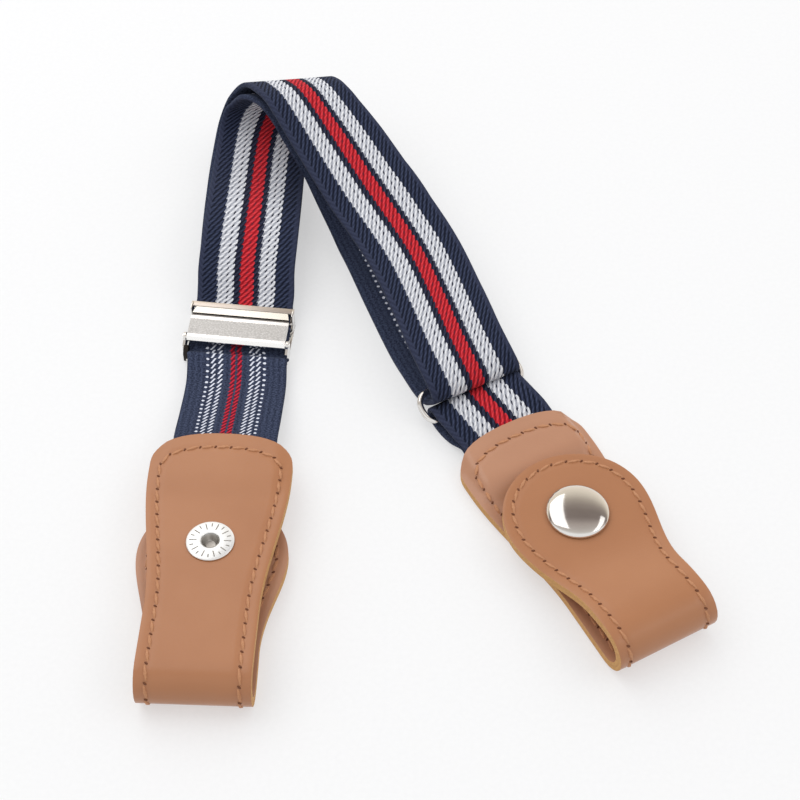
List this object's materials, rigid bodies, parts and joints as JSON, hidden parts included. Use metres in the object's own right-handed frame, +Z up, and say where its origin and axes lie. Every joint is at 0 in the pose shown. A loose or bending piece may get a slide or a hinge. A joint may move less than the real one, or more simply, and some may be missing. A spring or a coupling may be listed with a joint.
{
  "type": "elastic snap-tab belt",
  "caption": "Elastic waist belt without a buckle, laid out in a V: striped webbing, slide adjuster, oval ring, and leather tabs that snap round trouser loops.",
  "frame": {"origin": "middle of the laid-out belt's footprint, on the table", "axes": "+X to the viewer's right across the V, +Y from the tabs towards the V's point, +Z up from the table"},
  "size_m": [0.1314, 0.1886, 0.0279],
  "materials": {
    "webbing": "woven elastic, navy with white and red stripes",
    "leather": "smooth tan, raw cut edges, tan stitching",
    "plated_metal": "polished nickel plate",
    "satin_metal": "satin nickel plate"
  },
  "bodies": {
    "belt": {"long_elastic_band": "webbing", "short_elastic_loop": "webbing", "left_tab_leather": "leather", "right_tab_leather": "leather", "oval_ring": "plated_metal", "slider_frame": "plated_metal", "left_snap_cap": "plated_metal", "left_snap_socket": "satin_metal", "left_snap_stud": "satin_metal", "left_stud_washer": "plated_metal", "right_snap_cap": "plated_metal", "right_snap_socket": "satin_metal", "right_snap_stud": "satin_metal", "right_stud_washer": "plated_metal"},
    "lever": {"slider_lever": "satin_metal"}
  },
  "joints": [
    {"name": "lever_hinge", "type": "hinge", "parent": "belt", "child": "lever", "pos_m": [-0.04642, 0.00863, 0.0049], "axis": [0.9936, -0.1132, 0], "range_deg": [0, 100]}
  ]
}
